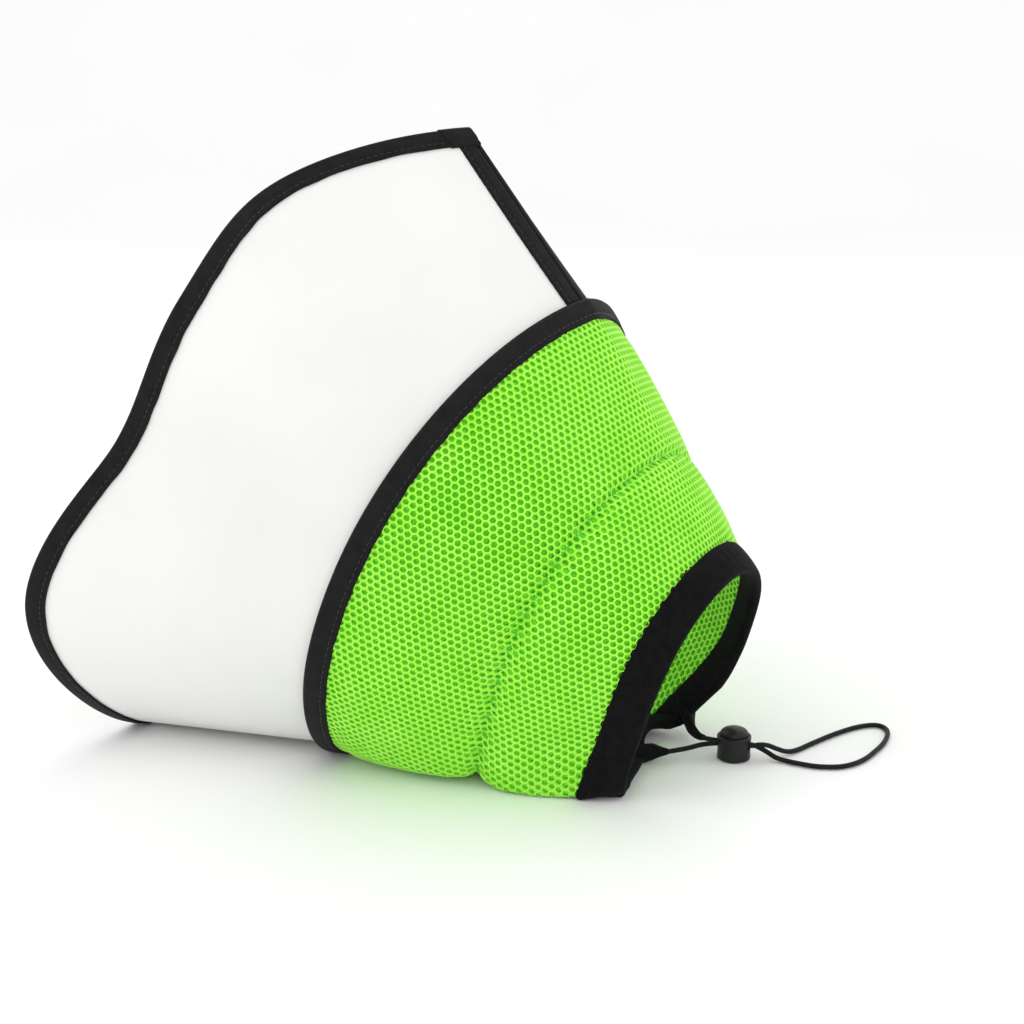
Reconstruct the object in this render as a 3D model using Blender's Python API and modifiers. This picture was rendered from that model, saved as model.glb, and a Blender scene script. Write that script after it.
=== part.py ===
# Elizabethan collar: a wide cone of frosted plastic with a padded mesh neck section,
# lying on its side on the floor. Metres, +Z up, +X towards the neck, -Y the near side.
# The cone's tip is on the floor at the origin until the last step centres the part.
# Angles go round the cone: 0 on top at the seam, 90 on the near side, 180 underneath.

import bpy
import bmesh
from math import cos, pi, radians, sin
from mathutils import Matrix, Vector

# The cone as it rests
REST_ANGLE = 26.3           # the cone's axis above the floor, degrees
HALF_ANGLE = 26.3           # the cone's side from its axis, degrees
RIM_REACH = 0.400           # from the tip to the wide rim, along the side
EDGE_REACH = 0.281          # from the tip to the mesh section's wide edge
NECK_RUN = 0.1120           # from the tip to the middle of the neck ring, along the floor
NECK_RADIUS = 0.0625        # to the middle of the casing's wall
NECK_TILT = 21.0            # the neck ring from upright, degrees
MOUTH_RUN = 0.098           # from the tip to the middle of the neck's free edge
MOUTH_RADIUS = 0.0505
MOUTH_TILT = 19.6

# Walls, tapes and gaps
SHEET_WALL = 0.001          # frosted plastic sheet
SHEET_TUCK = 0.016          # plastic that runs on under the mesh section
MESH_WALL = 0.0035          # padded spacer mesh
MESH_NIP = 0.0016           # the same mesh where it is stitched flat
MESH_PUFF = 0.0036          # how far the mesh swells between its stitch lines
TAPE_WALL = 0.001           # binding tape, one leaf
RIM_TAPE = 0.0105           # width of the rim's binding
SEAM_TAPE = 0.0095          # width of the binding on the two closing edges
EDGE_TAPE = 0.0115          # width of the binding on the mesh's wide edge
CASING_THICK = 0.006        # casing that the drawcord runs in
CASING_SLOT = 0.0035        # depth of the mesh inside the casing
CLEAR = 0.0003              # gap between pieces that touch

# Cord and cord lock
CORD_DIAMETER = 0.0025
LOCK_PLACE = (-0.0952, 0.0306)
LOCK_RADIUS = 0.0085
LOCK_HEIGHT = 0.0122
LOCK_WALL = 0.0013
LOCK_BASE = 0.0015
BUTTON_TOP = 0.0164         # top of the push button above the floor
BUTTON_TRAVEL = 0.0025
BUTTON_EDGE = 0.0016        # rounding of the button's dome
LOCK_GAP = 0.0003           # running gap round the button
STRAND_HEIGHT = 0.0076      # the cord's middle above the floor inside the lock
STRAND_SPREAD = 0.0032      # between the two strands inside the lock
STRAND_TURN = 14.0          # the strands' direction inside the lock, from +X
HOLE_HIGH = CORD_DIAMETER + 4 * LOCK_GAP
HOLE_WIDE = STRAND_SPREAD + CORD_DIAMETER + 4 * LOCK_GAP

# Counts
COLUMNS = 60                # facets round the cone
SHEET_ROWS = 8
ROUND_SIDES = 24            # facets round the cord lock
CORD_POINTS = 76

# Shapes round the cone, one row each 30 degrees from the seam to the underside.
# spread is a share of HALF_ANGLE and reach of RIM_REACH; neck and mouth are shares
# of those rings' radii, and puff is a share of MESH_PUFF.
SECTION_COLUMNS = ("angle", "rim_spread", "rim_reach", "edge_spread", "neck", "mouth", "puff")
SECTIONS = (
    (0, 1.010, 0.955, 1.050, 0.88, 0.91, 0.10),
    (30, 0.755, 1.030, 0.970, 0.885, 0.92, 0.40),
    (60, 0.805, 1.008, 0.928, 0.885, 0.95, 0.90),
    (90, 0.770, 0.998, 0.920, 0.90, 0.98, 1.00),
    (120, 0.995, 1.050, 1.035, 1.01, 1.12, 1.00),
    (150, 1.090, 0.990, 1.100, 1.40, 1.48, 1.00),
    (180, 1.000, 1.000, 1.000, 1.00, 1.20, 1.00),
)

# The mesh section's swell between its binding (0) and the casing (1): place along it,
# lift as a share of MESH_PUFF, and loft from the stitched wall (0) to the full wall (1).
FOLDS = (
    (0.00, 0.00, 0.0),
    (0.06, 0.45, 0.7),
    (0.16, 0.80, 1.0),
    (0.32, 1.00, 1.0),
    (0.47, 0.80, 1.0),
    (0.55, 0.25, 0.7),
    (0.588, -0.65, 0.0),
    (0.625, 0.30, 0.7),
    (0.70, 0.95, 1.0),
    (0.83, 0.80, 1.0),
    (0.94, 0.30, 0.5),
    (1.00, 0.00, 0.0),
)

# The casing's plain stretch under the neck, between the two ends that the cord leaves:
# angle, share of the casing's width and share of its thickness.
NEAR_END = 186.0
FAR_END = 216.0
HEM_COLUMNS = ("angle", "width", "thick")
CASING_HEM = (
    (NEAR_END, 1.00, 1.00),
    (NEAR_END + 6.0, 0.62, 0.75),
    (FAR_END - 6.0, 0.62, 0.75),
    (FAR_END, 1.00, 1.00),
)

# The cord's route, from the near casing end through the lock, round the loop on the
# floor and back into the far casing end: x, y, z in metres.
CORD_ROUTE = (
    (-0.1232, 0.0113, 0.0040),
    (-0.1156, 0.0173, 0.0052),
    (-0.1092, 0.0227, 0.0068),
    (-0.1034, 0.0264, 0.0075),
    (-0.0987, 0.0281, 0.0076),
    (-0.0909, 0.0300, 0.0076),
    (-0.0862, 0.0315, 0.0079),
    (-0.0826, 0.0339, 0.0083),
    (-0.0798, 0.0371, 0.0074),
    (-0.0768, 0.0414, 0.0048),
    (-0.0739, 0.0464, 0.0023),
    (-0.0709, 0.0531, 0.0013),
    (-0.0670, 0.0680, 0.0013),
    (-0.0620, 0.0850, 0.0013),
    (-0.0555, 0.1000, 0.0013),
    (-0.0480, 0.1070, 0.0013),
    (-0.0410, 0.1025, 0.0013),
    (-0.0370, 0.0880, 0.0013),
    (-0.0365, 0.0720, 0.0013),
    (-0.0380, 0.0560, 0.0013),
    (-0.0435, 0.0445, 0.0013),
    (-0.0530, 0.0385, 0.0013),
    (-0.0630, 0.0370, 0.0013),
    (-0.0710, 0.0370, 0.0014),
    (-0.0756, 0.0367, 0.0022),
    (-0.0797, 0.0367, 0.0039),
    (-0.0836, 0.0359, 0.0058),
    (-0.0869, 0.0346, 0.0071),
    (-0.0917, 0.0331, 0.0076),
    (-0.0995, 0.0312, 0.0076),
    (-0.1044, 0.0304, 0.0075),
    (-0.1088, 0.0315, 0.0069),
    (-0.1142, 0.0338, 0.0060),
    (-0.1224, 0.0404, 0.0043),
)


def catmull(before, start, end, after, share):
    """Smooth value between start and end."""
    return 0.5 * (2 * start + (end - before) * share
                  + (2 * before - 5 * start + 4 * end - after) * share ** 2
                  + (3 * start - before - 3 * end + after) * share ** 3)


def section(name, angle):
    """A section column at an angle, mirrored past the underside."""
    column = SECTION_COLUMNS.index(name)
    values = [row[column] for row in SECTIONS]
    step = SECTIONS[1][0]
    turn = angle % 360.0
    if turn > 180.0:
        turn = 360.0 - turn
    place = turn / step
    first = min(int(place), len(values) - 2)
    after = values[first + 2] if first + 2 < len(values) else values[first]
    before = values[first - 1] if first else 2 * values[0] - values[1]
    return catmull(before, values[first], values[first + 1], after, place - first)


def cone_point(angle, spread, reach):
    """Point on a ray from the tip, spread degrees off the cone's axis."""
    rest, off, turn = radians(REST_ANGLE), radians(spread), radians(angle)
    axis = Vector((-cos(rest), 0.0, sin(rest)))
    top = Vector((sin(rest), 0.0, cos(rest)))
    near = Vector((0.0, -1.0, 0.0))
    return reach * (cos(off) * axis + sin(off) * (cos(turn) * top + sin(turn) * near))


def on_floor(point, half_wall):
    """Keeps a wall's middle at least half a wall above the floor."""
    return Vector((point.x, point.y, max(point.z, half_wall)))


RIM_HALF = SHEET_WALL / 2 + CLEAR + TAPE_WALL
EDGE_HALF = MESH_NIP / 2 + CLEAR + TAPE_WALL
CASING_HALF = CASING_THICK / 2
SHEET_DROP = EDGE_HALF + CLEAR + SHEET_WALL / 2


def rim_point(angle):
    spread = HALF_ANGLE * section("rim_spread", angle)
    reach = RIM_REACH * section("rim_reach", angle) - CLEAR - RIM_HALF
    return on_floor(cone_point(angle, spread, reach), RIM_HALF)


def edge_point(angle):
    spread = HALF_ANGLE * section("edge_spread", angle)
    reach = EDGE_REACH - CLEAR - EDGE_HALF
    return on_floor(cone_point(angle, spread, reach), EDGE_HALF)


def ring_point(angle, run, radius, tilt, column):
    """Point on a flat ring that stands on the floor, leaning by its tilt."""
    lean, turn = radians(tilt), radians(angle)
    upward = Vector((sin(lean), 0.0, cos(lean)))
    near = Vector((0.0, -1.0, 0.0))
    height = radius * section(column, 180.0) * cos(lean) + CASING_HALF
    middle = Vector((-run, 0.0, height))
    size = radius * section(column, angle)
    place = middle + size * (cos(turn) * upward + sin(turn) * near)
    return on_floor(place, CASING_HALF)


def neck_point(angle):
    return ring_point(angle, NECK_RUN, NECK_RADIUS, NECK_TILT, "neck")


def mouth_point(angle):
    return ring_point(angle, MOUTH_RUN, MOUTH_RADIUS, MOUTH_TILT, "mouth")


def outward(surface, angle, along):
    """Unit normal of surface(angle, along), away from the cone's axis."""
    turn, shift = 3.0, 0.02
    across = surface(angle - turn, along) - surface(angle + turn, along)
    forward = surface(angle, along + shift) - surface(angle, along - shift)
    return forward.cross(across).normalized()


def casing_way(angle):
    """Unit vector across the casing, from the mesh to the neck's free edge."""
    return (mouth_point(angle) - neck_point(angle)).normalized()


def mesh_base(angle, along):
    """Straight line from the mesh's wide edge (0) to where the casing begins (1)."""
    begin = neck_point(angle) - casing_way(angle) * (CASING_SLOT + CLEAR)
    return edge_point(angle).lerp(begin, along)


def under_edge(angle, tuck):
    """The plastic's middle below the mesh's wide edge, tuck metres towards the neck."""
    start = edge_point(angle)
    inward = (mesh_base(angle, 1.0) - start).normalized()
    return start + inward * tuck - outward(mesh_base, angle, 0.0) * SHEET_DROP


def sheet_base(angle, along):
    """The plastic's middle from below the mesh edge (0) to the rim (1)."""
    return under_edge(angle, 0.0).lerp(rim_point(angle), along)


def columns(count=COLUMNS):
    return [360.0 * i / count for i in range(count)]


def beside_seam(ridge, neighbour):
    """The plastic's edge, so far from the ridge that the two folded tapes just clear."""
    way = (neighbour - ridge).normalized()
    return ridge + way * (CLEAR + (RIM_HALF + CLEAR) / abs(way.y))


def add_object(name, mesh, material):
    piece = bpy.data.objects.new(name, mesh)
    mesh.materials.append(material)
    PARTS.objects.link(piece)
    piece.parent = FRAME
    return piece


def make_material(name, colour, roughness, metallic=0.0):
    material = bpy.data.materials.new(name)
    material.use_nodes = True
    shader = material.node_tree.nodes["Principled BSDF"]
    shader.inputs["Base Color"].default_value = (*colour, 1.0)
    shader.inputs["Roughness"].default_value = roughness
    shader.inputs["Metallic"].default_value = metallic
    return material


def loft(name, rings, material, closed, capped=False):
    """Skins a row of like rings of points, each ring a closed loop."""
    work = bmesh.new()
    loops = [[work.verts.new(point) for point in ring] for ring in rings]
    pairs = list(zip(loops, loops[1:]))
    if closed:
        pairs.append((loops[-1], loops[0]))
    for first, second in pairs:
        for i in range(len(first)):
            j = (i + 1) % len(first)
            work.faces.new((first[i], first[j], second[j], second[i]))
    if capped:
        work.faces.new(reversed(loops[0]))
        work.faces.new(loops[-1])
    bmesh.ops.recalc_face_normals(work, faces=work.faces)
    bmesh.ops.triangulate(work, faces=work.faces)
    mesh = bpy.data.meshes.new(name)
    work.to_mesh(mesh)
    work.free()
    mesh.shade_smooth()
    mesh.set_sharp_from_angle(angle=radians(40.0))
    return add_object(name, mesh, material)


def wall(name, rows, thickness, material, closed, weights=None, least=1.0):
    """An open surface through rows of points, thickened to both sides."""
    work = bmesh.new()
    grid = [[work.verts.new(point) for point in row] for row in rows]
    count = len(rows[0])
    for first, second in zip(grid, grid[1:]):
        for i in range(count if closed else count - 1):
            j = (i + 1) % count
            work.faces.new((first[i], second[i], second[j], first[j]))
    mesh = bpy.data.meshes.new(name)
    work.to_mesh(mesh)
    work.free()
    mesh.shade_smooth()
    piece = add_object(name, mesh, material)
    if weights:
        group = piece.vertex_groups.new(name="loft")
        for row, weight in enumerate(weights):
            group.add([row * count + i for i in range(count)], weight, "REPLACE")
    solid = piece.modifiers.new("wall", "SOLIDIFY")
    solid.thickness = thickness
    solid.offset = 0.0
    if weights:
        solid.vertex_group = "loft"
        solid.thickness_vertex_group = least
    return piece


def band_profile(width, slot, core, half):
    """Tape folded round an edge: (along, out) points, the edge's end at along 0.

    The tape's leaves run back by width less the fold, the slot between them is slot
    deep and core high, and the fold is rounded with radius half.
    """
    back = width - CLEAR - half
    fold = [(CLEAR + half * sin(a), half * cos(a)) for a in (0.0, pi / 3, 2 * pi / 3, pi)]
    inner = core / 2
    return [(-back, inner), (-back, half), *fold, (-back, -half), (-back, -inner),
            (CLEAR - (back + CLEAR - slot), -inner), (CLEAR - (back + CLEAR - slot), inner)]


def tape(name, stations, profile, material, closed):
    """A tape along stations of (place, direction past the edge, outward normal)."""
    rings = [[place + ahead * a + out * b for a, b in profile]
             for place, ahead, out in stations]
    return loft(name, rings, material, closed, capped=not closed)


def make_sheet(material):
    rows = []
    for row in range(-1, SHEET_ROWS + 1):
        points = []
        for angle in columns():
            if row < 0:
                points.append(under_edge(angle, SHEET_TUCK))
            else:
                points.append(sheet_base(angle, row / SHEET_ROWS))
        near = beside_seam(points[0], points[1])
        far = beside_seam(points[0], points[-1])
        rows.append([near, *points[1:], far])
    return wall("cone_sheet", rows, SHEET_WALL, material, closed=False)


def make_rim_binding(material):
    stations = []
    for angle in columns():
        place = rim_point(angle)
        ahead = (place - under_edge(angle, 0.0)).normalized()
        stations.append((place, ahead, outward(sheet_base, angle, 1.0)))
    core = SHEET_WALL + 2 * CLEAR
    back = RIM_TAPE - CLEAR - RIM_HALF
    profile = band_profile(RIM_TAPE, back + CLEAR, core, RIM_HALF)
    return tape("rim_binding", stations, profile, material, closed=True)


def make_seam_binding(name, side, material):
    """Tape on one closing edge of the plastic; side is 1 for the near edge."""
    step = 360.0 / COLUMNS * side
    length = (rim_point(0.0) - under_edge(0.0, 0.0)).length
    first = (CLEAR + EDGE_HALF + CLEAR) / length
    last = 1.0 - (RIM_TAPE - CLEAR - RIM_HALF + CLEAR) / length
    between = [row / SHEET_ROWS for row in range(SHEET_ROWS + 1)]
    stations = []
    for along in [first, *(value for value in between if first < value < last), last]:
        ridge = sheet_base(0.0, along)
        neighbour = sheet_base(step, along)
        place = beside_seam(ridge, neighbour)
        ahead = (ridge - neighbour).normalized()
        forward = sheet_base(0.0, along + 0.1) - sheet_base(0.0, along - 0.1)
        out = forward.cross(ahead).normalized() * side
        if out.z < 0.0:
            out = -out
        stations.append((place, ahead, out))
    core = SHEET_WALL + 2 * CLEAR
    back = SEAM_TAPE - CLEAR - RIM_HALF
    profile = band_profile(SEAM_TAPE, back + CLEAR, core, RIM_HALF)
    return tape(name, stations, profile, material, closed=False)


def make_mesh_cone(material):
    rows = [[edge_point(angle) for angle in columns()]]
    weights = [0.0]
    for along, lift, loft_share in FOLDS:
        half_wall = (MESH_NIP + (MESH_WALL - MESH_NIP) * loft_share) / 2
        row = []
        for angle in columns():
            length = (mesh_base(angle, 1.0) - edge_point(angle)).length
            share = along + (1.0 - along) * EDGE_TAPE / length
            place = mesh_base(angle, share)
            puff = section("puff", angle) if lift > 0.0 else 1.0
            place += outward(mesh_base, angle, share) * MESH_PUFF * lift * puff
            row.append(on_floor(place, half_wall))
        rows.append(row)
        weights.append(loft_share)
    rows.append([neck_point(angle) for angle in columns()])
    weights.append(0.0)
    least = MESH_NIP / MESH_WALL
    return wall("mesh_cone", rows, MESH_WALL, material, True, weights, least)


def make_mesh_binding(material):
    stations = []
    for angle in columns():
        place = edge_point(angle)
        ahead = (place - mesh_base(angle, 1.0)).normalized()
        stations.append((place, ahead, outward(mesh_base, angle, 0.0)))
    core = MESH_NIP + 2 * CLEAR
    back = EDGE_TAPE - CLEAR - EDGE_HALF
    profile = band_profile(EDGE_TAPE, back + CLEAR, core, EDGE_HALF)
    return tape("mesh_binding", stations, profile, material, closed=True)


def hem_share(column, angle):
    """The casing's width or thickness share at an angle."""
    index = HEM_COLUMNS.index(column)
    for first, second in zip(CASING_HEM, CASING_HEM[1:]):
        if first[0] <= angle <= second[0]:
            share = (angle - first[0]) / (second[0] - first[0])
            return first[index] + (second[index] - first[index]) * share
    return 1.0


def make_neck_casing(material):
    angles = sorted(set(columns()) | {row[0] for row in CASING_HEM})
    core = MESH_NIP + 5 * CLEAR
    rings = []
    for angle in angles:
        start, end = neck_point(angle), mouth_point(angle)
        ahead = casing_way(angle)
        across = neck_point(angle - 3.0) - neck_point(angle + 3.0)
        out = across.cross(ahead).normalized()
        if out.dot(outward(mesh_base, angle, 1.0)) < 0.0:
            out = -out
        half = CASING_HALF * hem_share("thick", angle)
        reach = ((end - start).length + CASING_SLOT) * hem_share("width", angle)
        inner = core / 2
        front = reach - CASING_SLOT - half
        turns = (0.0, pi / 4, pi / 2, 3 * pi / 4, pi)
        fold = [(front + half * sin(a), half * cos(a)) for a in turns]
        profile = [(-CASING_SLOT, inner), (-CASING_SLOT, half), *fold,
                   (-CASING_SLOT, -half), (-CASING_SLOT, -inner), (CLEAR, -inner), (CLEAR, inner)]
        rings.append([start + ahead * a + out * b for a, b in profile])
    return loft("neck_casing", rings, material, closed=True)


def smooth_route(points, count):
    """Evenly spaced points on a smooth curve through the route's points."""
    ends = [2 * points[0] - points[1], *points, 2 * points[-1] - points[-2]]
    fine = []
    for i in range(1, len(ends) - 2):
        for step in range(12):
            fine.append(catmull(ends[i - 1], ends[i], ends[i + 1], ends[i + 2], step / 12))
    fine.append(points[-1])
    lengths = [0.0]
    for first, second in zip(fine, fine[1:]):
        lengths.append(lengths[-1] + (second - first).length)
    even, place = [], 0
    for i in range(count):
        target = lengths[-1] * i / (count - 1)
        while place < len(fine) - 2 and lengths[place + 1] < target:
            place += 1
        span = lengths[place + 1] - lengths[place]
        even.append(fine[place].lerp(fine[place + 1], (target - lengths[place]) / span))
    return even


def make_drawcord(material):
    curve = bpy.data.curves.new("drawcord", "CURVE")
    curve.dimensions = "3D"
    curve.bevel_depth = CORD_DIAMETER / 2
    curve.bevel_resolution = 2
    curve.use_fill_caps = True
    spline = curve.splines.new("POLY")
    route = smooth_route([Vector(point) for point in CORD_ROUTE], CORD_POINTS)
    spline.points.add(len(route) - 1)
    for slot, place in zip(spline.points, route):
        slot.co = (*place, 1.0)
    return add_object("drawcord", curve, material)


def turned(name, profile, material):
    """A turned solid from (radius, height) points down its outer side."""
    mesh = bpy.data.meshes.new(name)
    edges = [(i, i + 1) for i in range(len(profile) - 1)]
    mesh.from_pydata([(radius, 0.0, height) for radius, height in profile], edges, [])
    piece = add_object(name, mesh, material)
    piece.location = (*LOCK_PLACE, 0.0)
    screw = piece.modifiers.new("turn", "SCREW")
    screw.steps = ROUND_SIDES
    screw.render_steps = ROUND_SIDES
    screw.use_merge_vertices = True
    screw.merge_threshold = 0.00001
    return piece


def cut_box(piece, name, size, middle):
    """Cuts a box through a piece, across the lock in the strands' direction."""
    bpy.ops.mesh.primitive_cube_add(size=1.0)
    cutter = bpy.context.object
    cutter.name = name
    cutter.data.transform(Matrix.Diagonal((*size, 1.0)))
    cutter.location = (*LOCK_PLACE, middle)
    cutter.rotation_euler = (0.0, 0.0, radians(STRAND_TURN))
    cutter.parent = FRAME
    for home in cutter.users_collection:
        home.objects.unlink(cutter)
    CUTTERS.objects.link(cutter)
    cutter.hide_render = True
    cutter.display_type = "WIRE"
    cut = piece.modifiers.new("cut", "BOOLEAN")
    cut.operation = "DIFFERENCE"
    cut.solver = "EXACT"
    cut.object = cutter


def make_lock_body(material):
    bore = LOCK_RADIUS - LOCK_WALL
    edge = LOCK_WALL * 0.9
    waist = LOCK_RADIUS - edge / 4
    profile = [(0.0, LOCK_BASE), (bore, LOCK_BASE), (bore, LOCK_HEIGHT),
               (LOCK_RADIUS - edge / 3, LOCK_HEIGHT), (waist, LOCK_HEIGHT - edge / 2),
               (LOCK_RADIUS, LOCK_HEIGHT / 3), (waist, edge), (LOCK_RADIUS - edge, 0.0),
               (0.0, 0.0)]
    body = turned("cord_lock_body", profile, material)
    size = (4 * LOCK_RADIUS, HOLE_WIDE, HOLE_HIGH)
    cut_box(body, "body_hole", size, STRAND_HEIGHT)
    return body


def make_lock_button(material):
    radius = LOCK_RADIUS - LOCK_WALL - LOCK_GAP
    bottom = LOCK_BASE + BUTTON_TRAVEL + LOCK_GAP
    dome = [(radius * sin(turn), BUTTON_TOP - 2 * BUTTON_EDGE * (1 - cos(turn)))
            for turn in (0.0, 0.47, 0.90, 1.25, pi / 2)]
    profile = [*dome, (radius, bottom), (0.0, bottom)]
    button = turned("cord_lock_button", profile, material)
    low = STRAND_HEIGHT - HOLE_HIGH / 2
    high = STRAND_HEIGHT + HOLE_HIGH / 2 + BUTTON_TRAVEL
    cut_box(button, "button_slot", (4 * LOCK_RADIUS, HOLE_WIDE, high - low), (low + high) / 2)
    return button


def centre_on_floor(pieces):
    """Puts the origin under the middle of the collar, on the floor."""
    graph = bpy.context.evaluated_depsgraph_get()
    low, high = Vector((9.0, 9.0, 9.0)), Vector((-9.0, -9.0, -9.0))
    for piece in pieces:
        shape = piece.evaluated_get(graph)
        for vertex in shape.data.vertices:
            place = shape.matrix_world @ vertex.co
            low = Vector(map(min, low, place))
            high = Vector(map(max, high, place))
    FRAME.location = (-(low.x + high.x) / 2, -(low.y + high.y) / 2, -low.z)


for old in list(bpy.data.objects):
    bpy.data.objects.remove(old, do_unlink=True)

PARTS = bpy.data.collections.new("elizabethan_collar")
CUTTERS = bpy.data.collections.new("cutters")
bpy.context.scene.collection.children.link(PARTS)
bpy.context.scene.collection.children.link(CUTTERS)
FRAME = bpy.data.objects.new("collar_frame", None)
PARTS.objects.link(FRAME)

frosted = make_material("frosted_sheet", (0.86, 0.87, 0.88), 0.45)
tape_black = make_material("binding_tape", (0.012, 0.012, 0.013), 0.85)
lime_mesh = make_material("lime_spacer_mesh", (0.28, 0.78, 0.03), 0.80)
casing_black = make_material("casing_knit", (0.010, 0.010, 0.011), 0.90)
cord_black = make_material("elastic_cord", (0.012, 0.012, 0.012), 0.75)
lock_black = make_material("moulded_black", (0.015, 0.015, 0.016), 0.35)

collar = [
    make_sheet(frosted),
    make_rim_binding(tape_black),
    make_seam_binding("seam_binding", 1, tape_black),
    make_seam_binding("under_edge_binding", -1, tape_black),
    make_mesh_cone(lime_mesh),
    make_mesh_binding(tape_black),
    make_neck_casing(casing_black),
]
make_drawcord(cord_black)
make_lock_body(lock_black)
make_lock_button(lock_black)
centre_on_floor(collar)
bpy.context.view_layer.update()
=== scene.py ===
import bmesh
import bpy
import numpy as np
from math import cos, pi, radians, sin
from mathutils import Matrix, Vector


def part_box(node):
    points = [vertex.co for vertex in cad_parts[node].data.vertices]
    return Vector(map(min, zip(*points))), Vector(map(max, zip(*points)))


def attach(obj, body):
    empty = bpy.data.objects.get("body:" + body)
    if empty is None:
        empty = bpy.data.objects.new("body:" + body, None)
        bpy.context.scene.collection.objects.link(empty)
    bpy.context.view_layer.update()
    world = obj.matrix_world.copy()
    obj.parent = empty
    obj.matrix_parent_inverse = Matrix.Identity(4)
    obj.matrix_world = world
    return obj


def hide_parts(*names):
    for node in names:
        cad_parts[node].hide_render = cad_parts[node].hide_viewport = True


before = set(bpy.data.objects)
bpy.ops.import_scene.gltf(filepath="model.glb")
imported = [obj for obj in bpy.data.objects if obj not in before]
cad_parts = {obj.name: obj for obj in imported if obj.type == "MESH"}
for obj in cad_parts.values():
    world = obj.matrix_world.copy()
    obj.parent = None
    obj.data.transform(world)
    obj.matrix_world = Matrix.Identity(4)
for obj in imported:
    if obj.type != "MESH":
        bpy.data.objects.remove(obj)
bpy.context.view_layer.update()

# Sizes that the looks share with the solids, metres and degrees
collar = {
    "restAngle": 26.3, "halfAngle": 26.3, "rimReach": 0.400, "edgeReach": 0.281,
    "neckRun": 0.1120, "neckRadius": 0.0625, "neckTilt": 21.0,
    "mouthRun": 0.098, "mouthRadius": 0.0505, "mouthTilt": 19.6,
    "sheetWall": 0.001, "sheetTuck": 0.016, "meshWall": 0.0035, "meshNip": 0.0016,
    "meshPuff": 0.0036, "tapeWall": 0.001, "rimTape": 0.0105, "seamTape": 0.0095,
    "edgeTape": 0.0115, "casingThick": 0.006, "casingSlot": 0.0035, "clear": 0.0003,
    "lockPlace": (-0.0952, 0.0306),
}
rimHalf = collar["sheetWall"] / 2 + collar["clear"] + collar["tapeWall"]
edgeHalf = collar["meshNip"] / 2 + collar["clear"] + collar["tapeWall"]
casingHalf = collar["casingThick"] / 2
sheetDrop = edgeHalf + collar["clear"] + collar["sheetWall"] / 2

# Shape round the cone each 30 degrees, from the seam on top to the underside
sectionStep = 30.0
sections = {
    "rimSpread": (1.010, 0.755, 0.805, 0.770, 0.995, 1.090, 1.000),
    "rimReach": (0.955, 1.030, 1.008, 0.998, 1.050, 0.990, 1.000),
    "edgeSpread": (1.050, 0.970, 0.928, 0.920, 1.035, 1.100, 1.000),
    "neck": (0.88, 0.885, 0.885, 0.90, 1.01, 1.40, 1.00),
    "mouth": (0.91, 0.92, 0.95, 0.98, 1.12, 1.48, 1.20),
    "puff": (0.10, 0.40, 0.90, 1.00, 1.00, 1.00, 1.00),
}

# The mesh section's swell from its binding to the casing
folds = {
    "along": (0.00, 0.06, 0.16, 0.32, 0.47, 0.55, 0.588, 0.625, 0.70, 0.83, 0.94, 1.00),
    "lift": (0.00, 0.45, 0.80, 1.00, 0.80, 0.25, -0.65, 0.30, 0.95, 0.80, 0.30, 0.00),
    "loft": (0.00, 0.70, 1.00, 1.00, 1.00, 0.70, 0.00, 0.70, 1.00, 1.00, 0.50, 0.00),
}

# How far the cord draws in the casing's far lower part, each 15 degrees from 150
drawWay, drawStart, drawStep = 30.7, 150.0, 15.0
drawn = {
    "neckSide": (0, -0.0003, -0.0020, -0.0085, -0.0145, -0.0110, -0.0010, 0.0038, 0.0043, 0.0040, 0.0034,
                 0.0016, 0, 0, 0),
    "neckRise": (0, 0.0001, 0.0010, 0.0055, 0.0050, 0.0010, 0, 0, 0, 0, 0, 0, 0, 0, 0),
    "mouthSide": (0, -0.0010, -0.0035, -0.0068, -0.0065, -0.0052, -0.0010, 0, 0, 0, 0, 0, 0, 0, 0),
    "mouthRise": (0, 0.0003, 0.0020, 0.0058, 0.0040, 0.0006, 0, 0, 0, 0, 0, 0, 0, 0, 0),
}

low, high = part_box("cord_lock_body")
frameShift = np.array([(low[0] + high[0]) / 2 - collar["lockPlace"][0],
                       (low[1] + high[1]) / 2 - collar["lockPlace"][1], low[2]])


def smoothBetween(before, start, end, after, share):
    return 0.5 * (2 * start + (end - before) * share
                  + (2 * before - 5 * start + 4 * end - after) * share ** 2
                  + (3 * start - before - 3 * end + after) * share ** 3)


def section(name, angle):
    values = np.array(sections[name])
    turn = np.abs((np.asarray(angle, float) + 180.0) % 360.0 - 180.0)
    place = turn / sectionStep
    first = np.minimum(place.astype(int), len(values) - 2)
    last = len(values) - 1
    after = np.where(first + 2 <= last, values[np.minimum(first + 2, last)], values[first])
    before = np.where(first > 0, values[np.maximum(first - 1, 0)], 2 * values[0] - values[1])
    return smoothBetween(before, values[first], values[first + 1], after, place - first)


def fold(name, along):
    along = np.clip(np.asarray(along, float), 0.0, 1.0)
    places, values = np.array(folds["along"]), np.array(folds[name])
    first = np.clip(np.searchsorted(places, along) - 1, 0, len(places) - 2)
    share = (along - places[first]) / (places[first + 1] - places[first])
    straight = values[first] + (values[first + 1] - values[first]) * share
    before = values[np.maximum(first - 1, 0)]
    after = values[np.minimum(first + 2, len(values) - 1)]
    curved = smoothBetween(before, values[first], values[first + 1], after, share)
    return 0.5 * straight + 0.5 * curved


def unit(vectors):
    return vectors / np.linalg.norm(vectors, axis=-1, keepdims=True)


def grow(numbers):
    return np.asarray(numbers, float)[..., None]


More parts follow.
